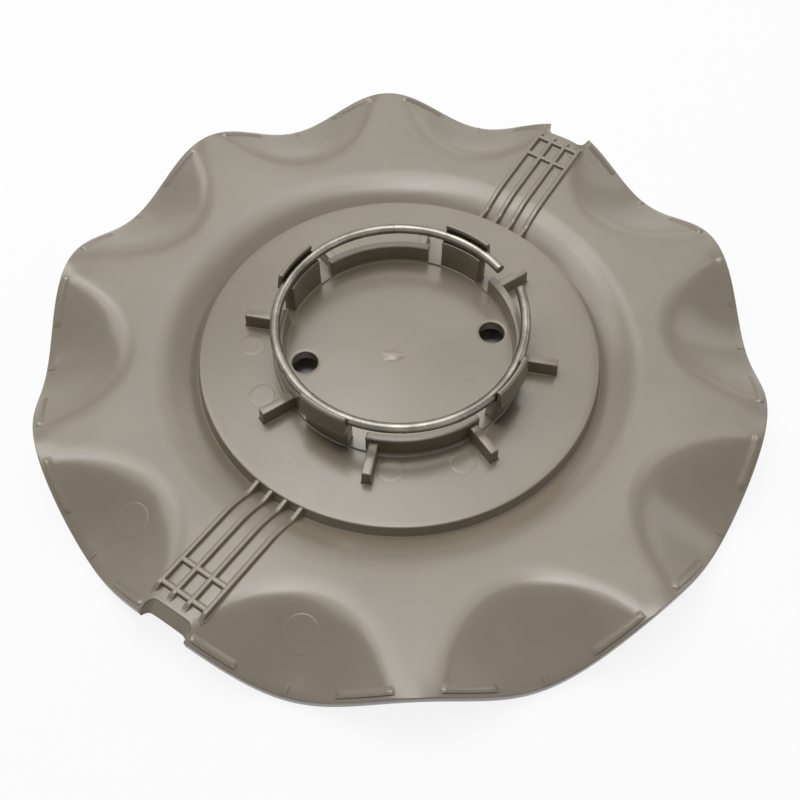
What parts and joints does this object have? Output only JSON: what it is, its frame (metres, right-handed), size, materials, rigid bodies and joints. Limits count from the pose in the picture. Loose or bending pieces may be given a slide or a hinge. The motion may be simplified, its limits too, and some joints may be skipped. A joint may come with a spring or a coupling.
{
  "type": "wheel centre cap",
  "caption": "Scalloped plastic wheel centre cap lying on its front, with clip legs and an open spring-wire ring on its back.",
  "frame": {"origin": "centre of the cap at the height of the lowest points of its front, which are the rims of the bolt pockets", "axes": "+Z along the cap's axis, out of its back towards the wheel; +Y through one pry notch and along a pack of ribs"},
  "size_m": [0.168, 0.1676, 0.0199],
  "materials": {
    "cap_plastic": "satin moulded, unpainted back",
    "spring_steel": "drawn spring wire"
  },
  "bodies": {
    "root": {"cap_body": "cap_plastic", "retaining_ring": "spring_steel"}
  },
  "joints": []
}
